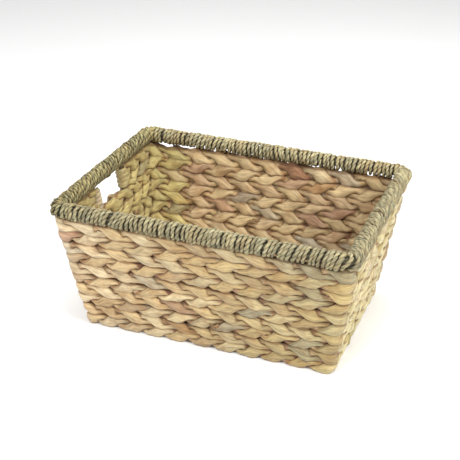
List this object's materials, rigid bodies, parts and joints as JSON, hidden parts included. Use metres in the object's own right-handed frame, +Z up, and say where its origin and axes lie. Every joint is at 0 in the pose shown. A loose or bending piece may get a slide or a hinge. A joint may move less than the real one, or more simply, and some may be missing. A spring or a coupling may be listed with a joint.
{
  "type": "storage basket",
  "caption": "Open rectangular storage basket with tapered twined water-hyacinth walls on a wire frame, a seagrass-cord rim and a hand hole through each end.",
  "frame": {"origin": "centre of the resting face, on the floor", "axes": "+X along the basket's length, +Y across its width towards the back, +Z up"},
  "size_m": [0.4, 0.3, 0.185],
  "materials": {
    "steel_wire": "satin",
    "wall_weave": "matte",
    "base_weave": "matte",
    "handle_wrapping": "matte",
    "rim_padding": "matte",
    "seagrass_cord": "matte"
  },
  "bodies": {
    "root": {"rim_rod": "steel_wire", "foot_rod": "steel_wire", "corner_post_front_left": "steel_wire", "corner_post_back_left": "steel_wire", "corner_post_front_right": "steel_wire", "corner_post_back_right": "steel_wire", "cross_wire_1": "steel_wire", "cross_wire_2": "steel_wire", "cross_wire_3": "steel_wire", "cross_wire_4": "steel_wire", "cross_wire_5": "steel_wire", "cross_wire_6": "steel_wire", "cross_wire_7": "steel_wire", "cross_wire_8": "steel_wire", "cross_wire_9": "steel_wire", "length_wire_1": "steel_wire", "length_wire_2": "steel_wire", "length_wire_3": "steel_wire", "length_wire_4": "steel_wire", "length_wire_5": "steel_wire", "length_wire_6": "steel_wire", "length_wire_7": "steel_wire", "handle_sill_wire_left": "steel_wire", "handle_sill_wire_right": "steel_wire", "wall_course_01": "wall_weave", "wall_course_02": "wall_weave", "wall_course_03": "wall_weave", "wall_course_04": "wall_weave", "wall_course_05": "wall_weave", "wall_course_06": "wall_weave", "wall_course_07": "wall_weave", "wall_course_08": "wall_weave", "wall_course_09": "wall_weave", "wall_course_10": "wall_weave", "base_course_01": "base_weave", "base_course_02": "base_weave", "base_course_03": "base_weave", "base_course_04": "base_weave", "base_course_05": "base_weave", "base_course_06": "base_weave", "base_course_07": "base_weave", "base_course_08": "base_weave", "base_course_09": "base_weave", "base_course_10": "base_weave", "base_course_11": "base_weave", "base_course_12": "base_weave", "handle_wrap_front_left": "handle_wrapping", "handle_wrap_back_left": "handle_wrapping", "handle_wrap_front_right": "handle_wrapping", "handle_wrap_back_right": "handle_wrapping", "rim_padding": "rim_padding", "rim_cord": "seagrass_cord"}
  },
  "joints": []
}
